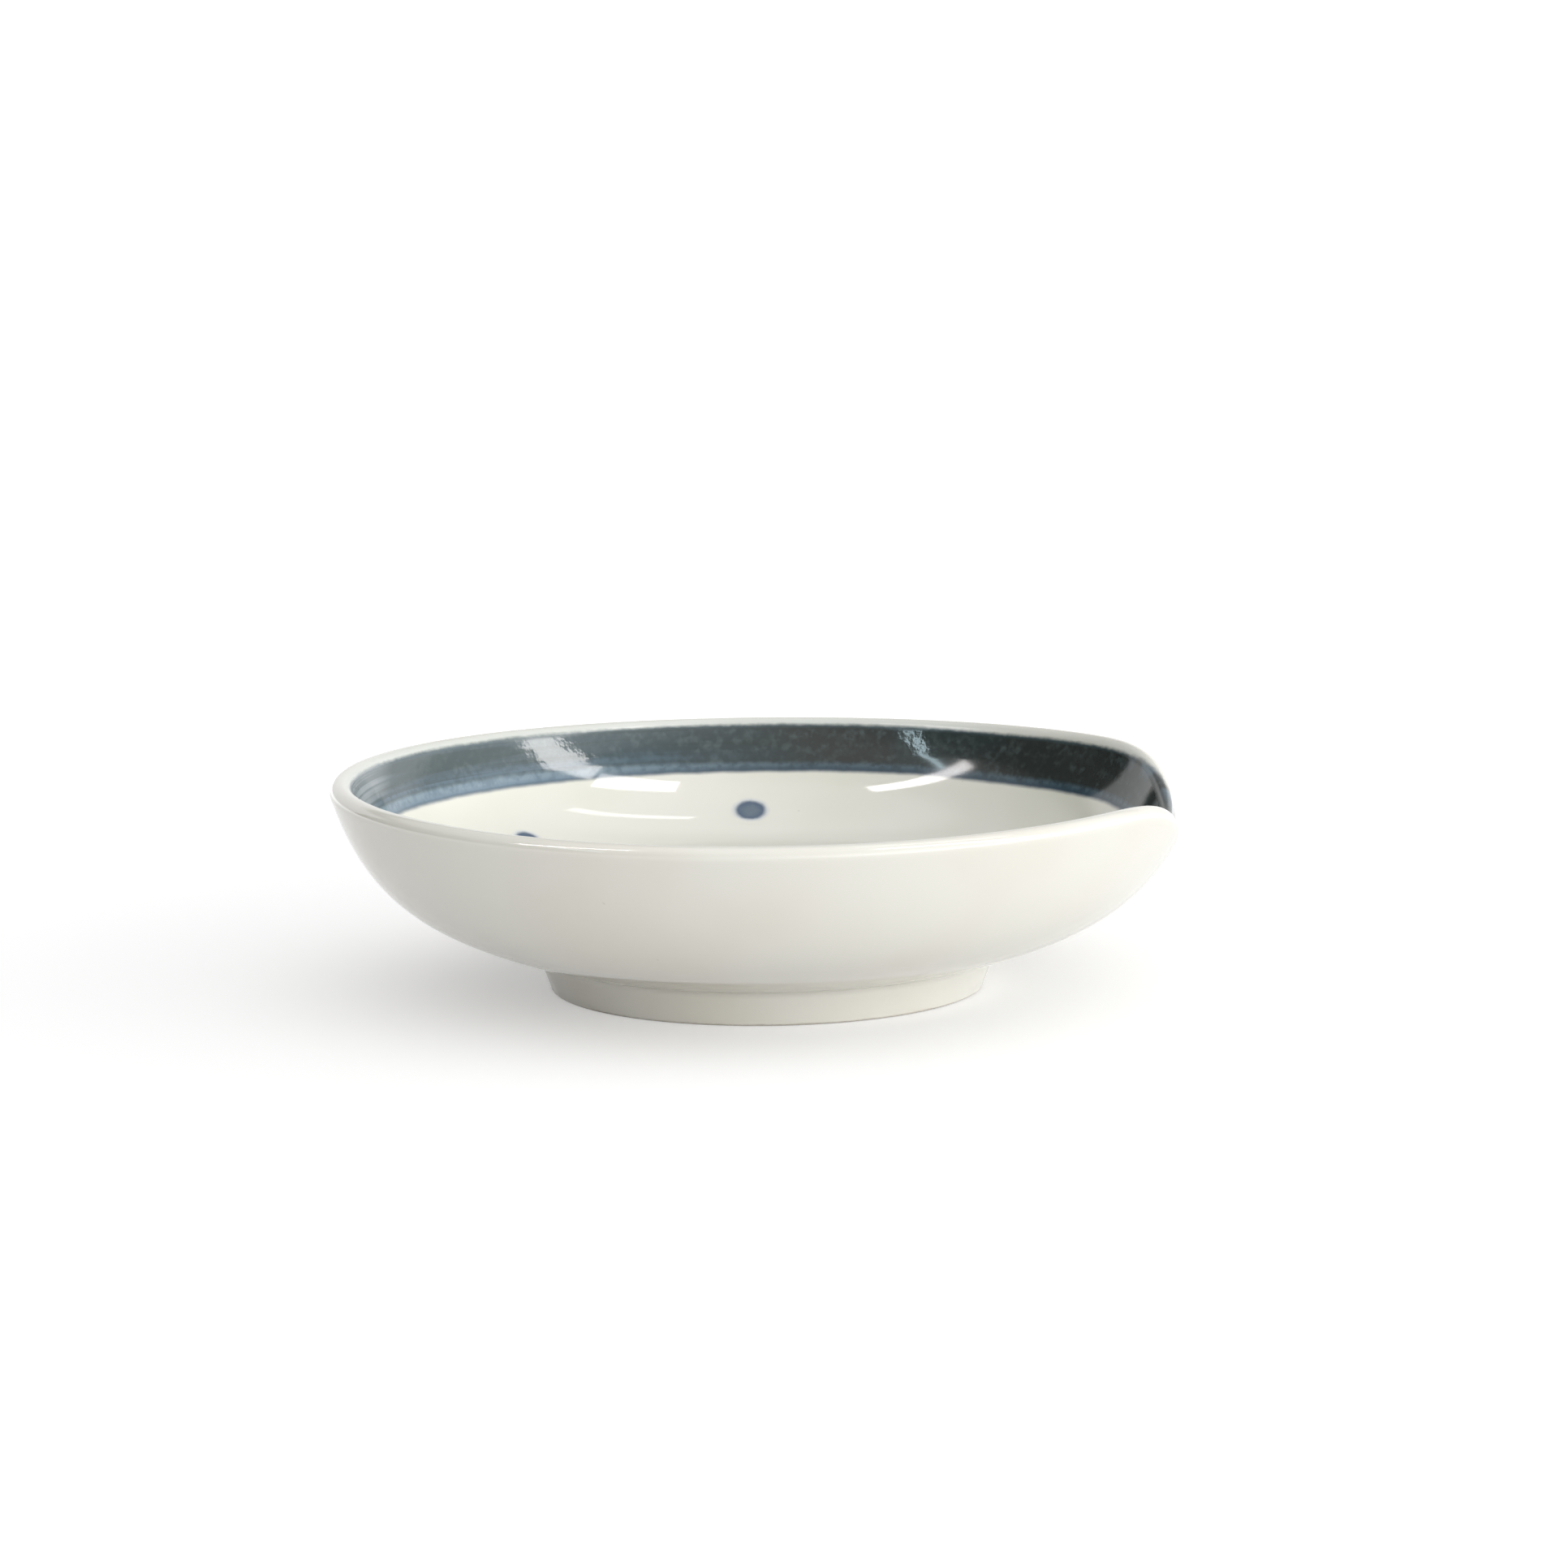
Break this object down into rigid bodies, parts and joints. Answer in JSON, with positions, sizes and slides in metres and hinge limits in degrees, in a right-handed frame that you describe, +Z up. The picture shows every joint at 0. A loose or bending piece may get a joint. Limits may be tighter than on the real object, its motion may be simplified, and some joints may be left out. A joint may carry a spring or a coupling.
{
  "type": "soy sauce dish",
  "caption": "Small round glazed dish on a foot ring, with a pouring dip in the rim, a brushed dark blue band inside the rim and blue dots, for serving soy sauce.",
  "frame": {"origin": "middle of the foot ring's resting face, on the bowl's axis", "axes": "+Z up out of the bowl along its axis, +X towards the pouring dip in the rim"},
  "size_m": [0.0973, 0.1, 0.0248],
  "materials": {
    "white_glaze": "clear gloss glaze over white porcelain",
    "foot_glaze": "gloss glaze on the sides, bare fired clay on the resting face",
    "indigo_band": "brushed indigo pigment under clear gloss glaze",
    "blue_dot": "blue pigment under clear gloss glaze, soft at the edge"
  },
  "bodies": {
    "root": {"bowl": "white_glaze", "foot_ring": "foot_glaze", "rim_band": "indigo_band", "dot_1": "blue_dot", "dot_2": "blue_dot", "dot_3": "blue_dot", "dot_4": "blue_dot", "dot_5": "blue_dot", "dot_6": "blue_dot", "dot_7": "blue_dot", "dot_8": "blue_dot"}
  },
  "joints": []
}
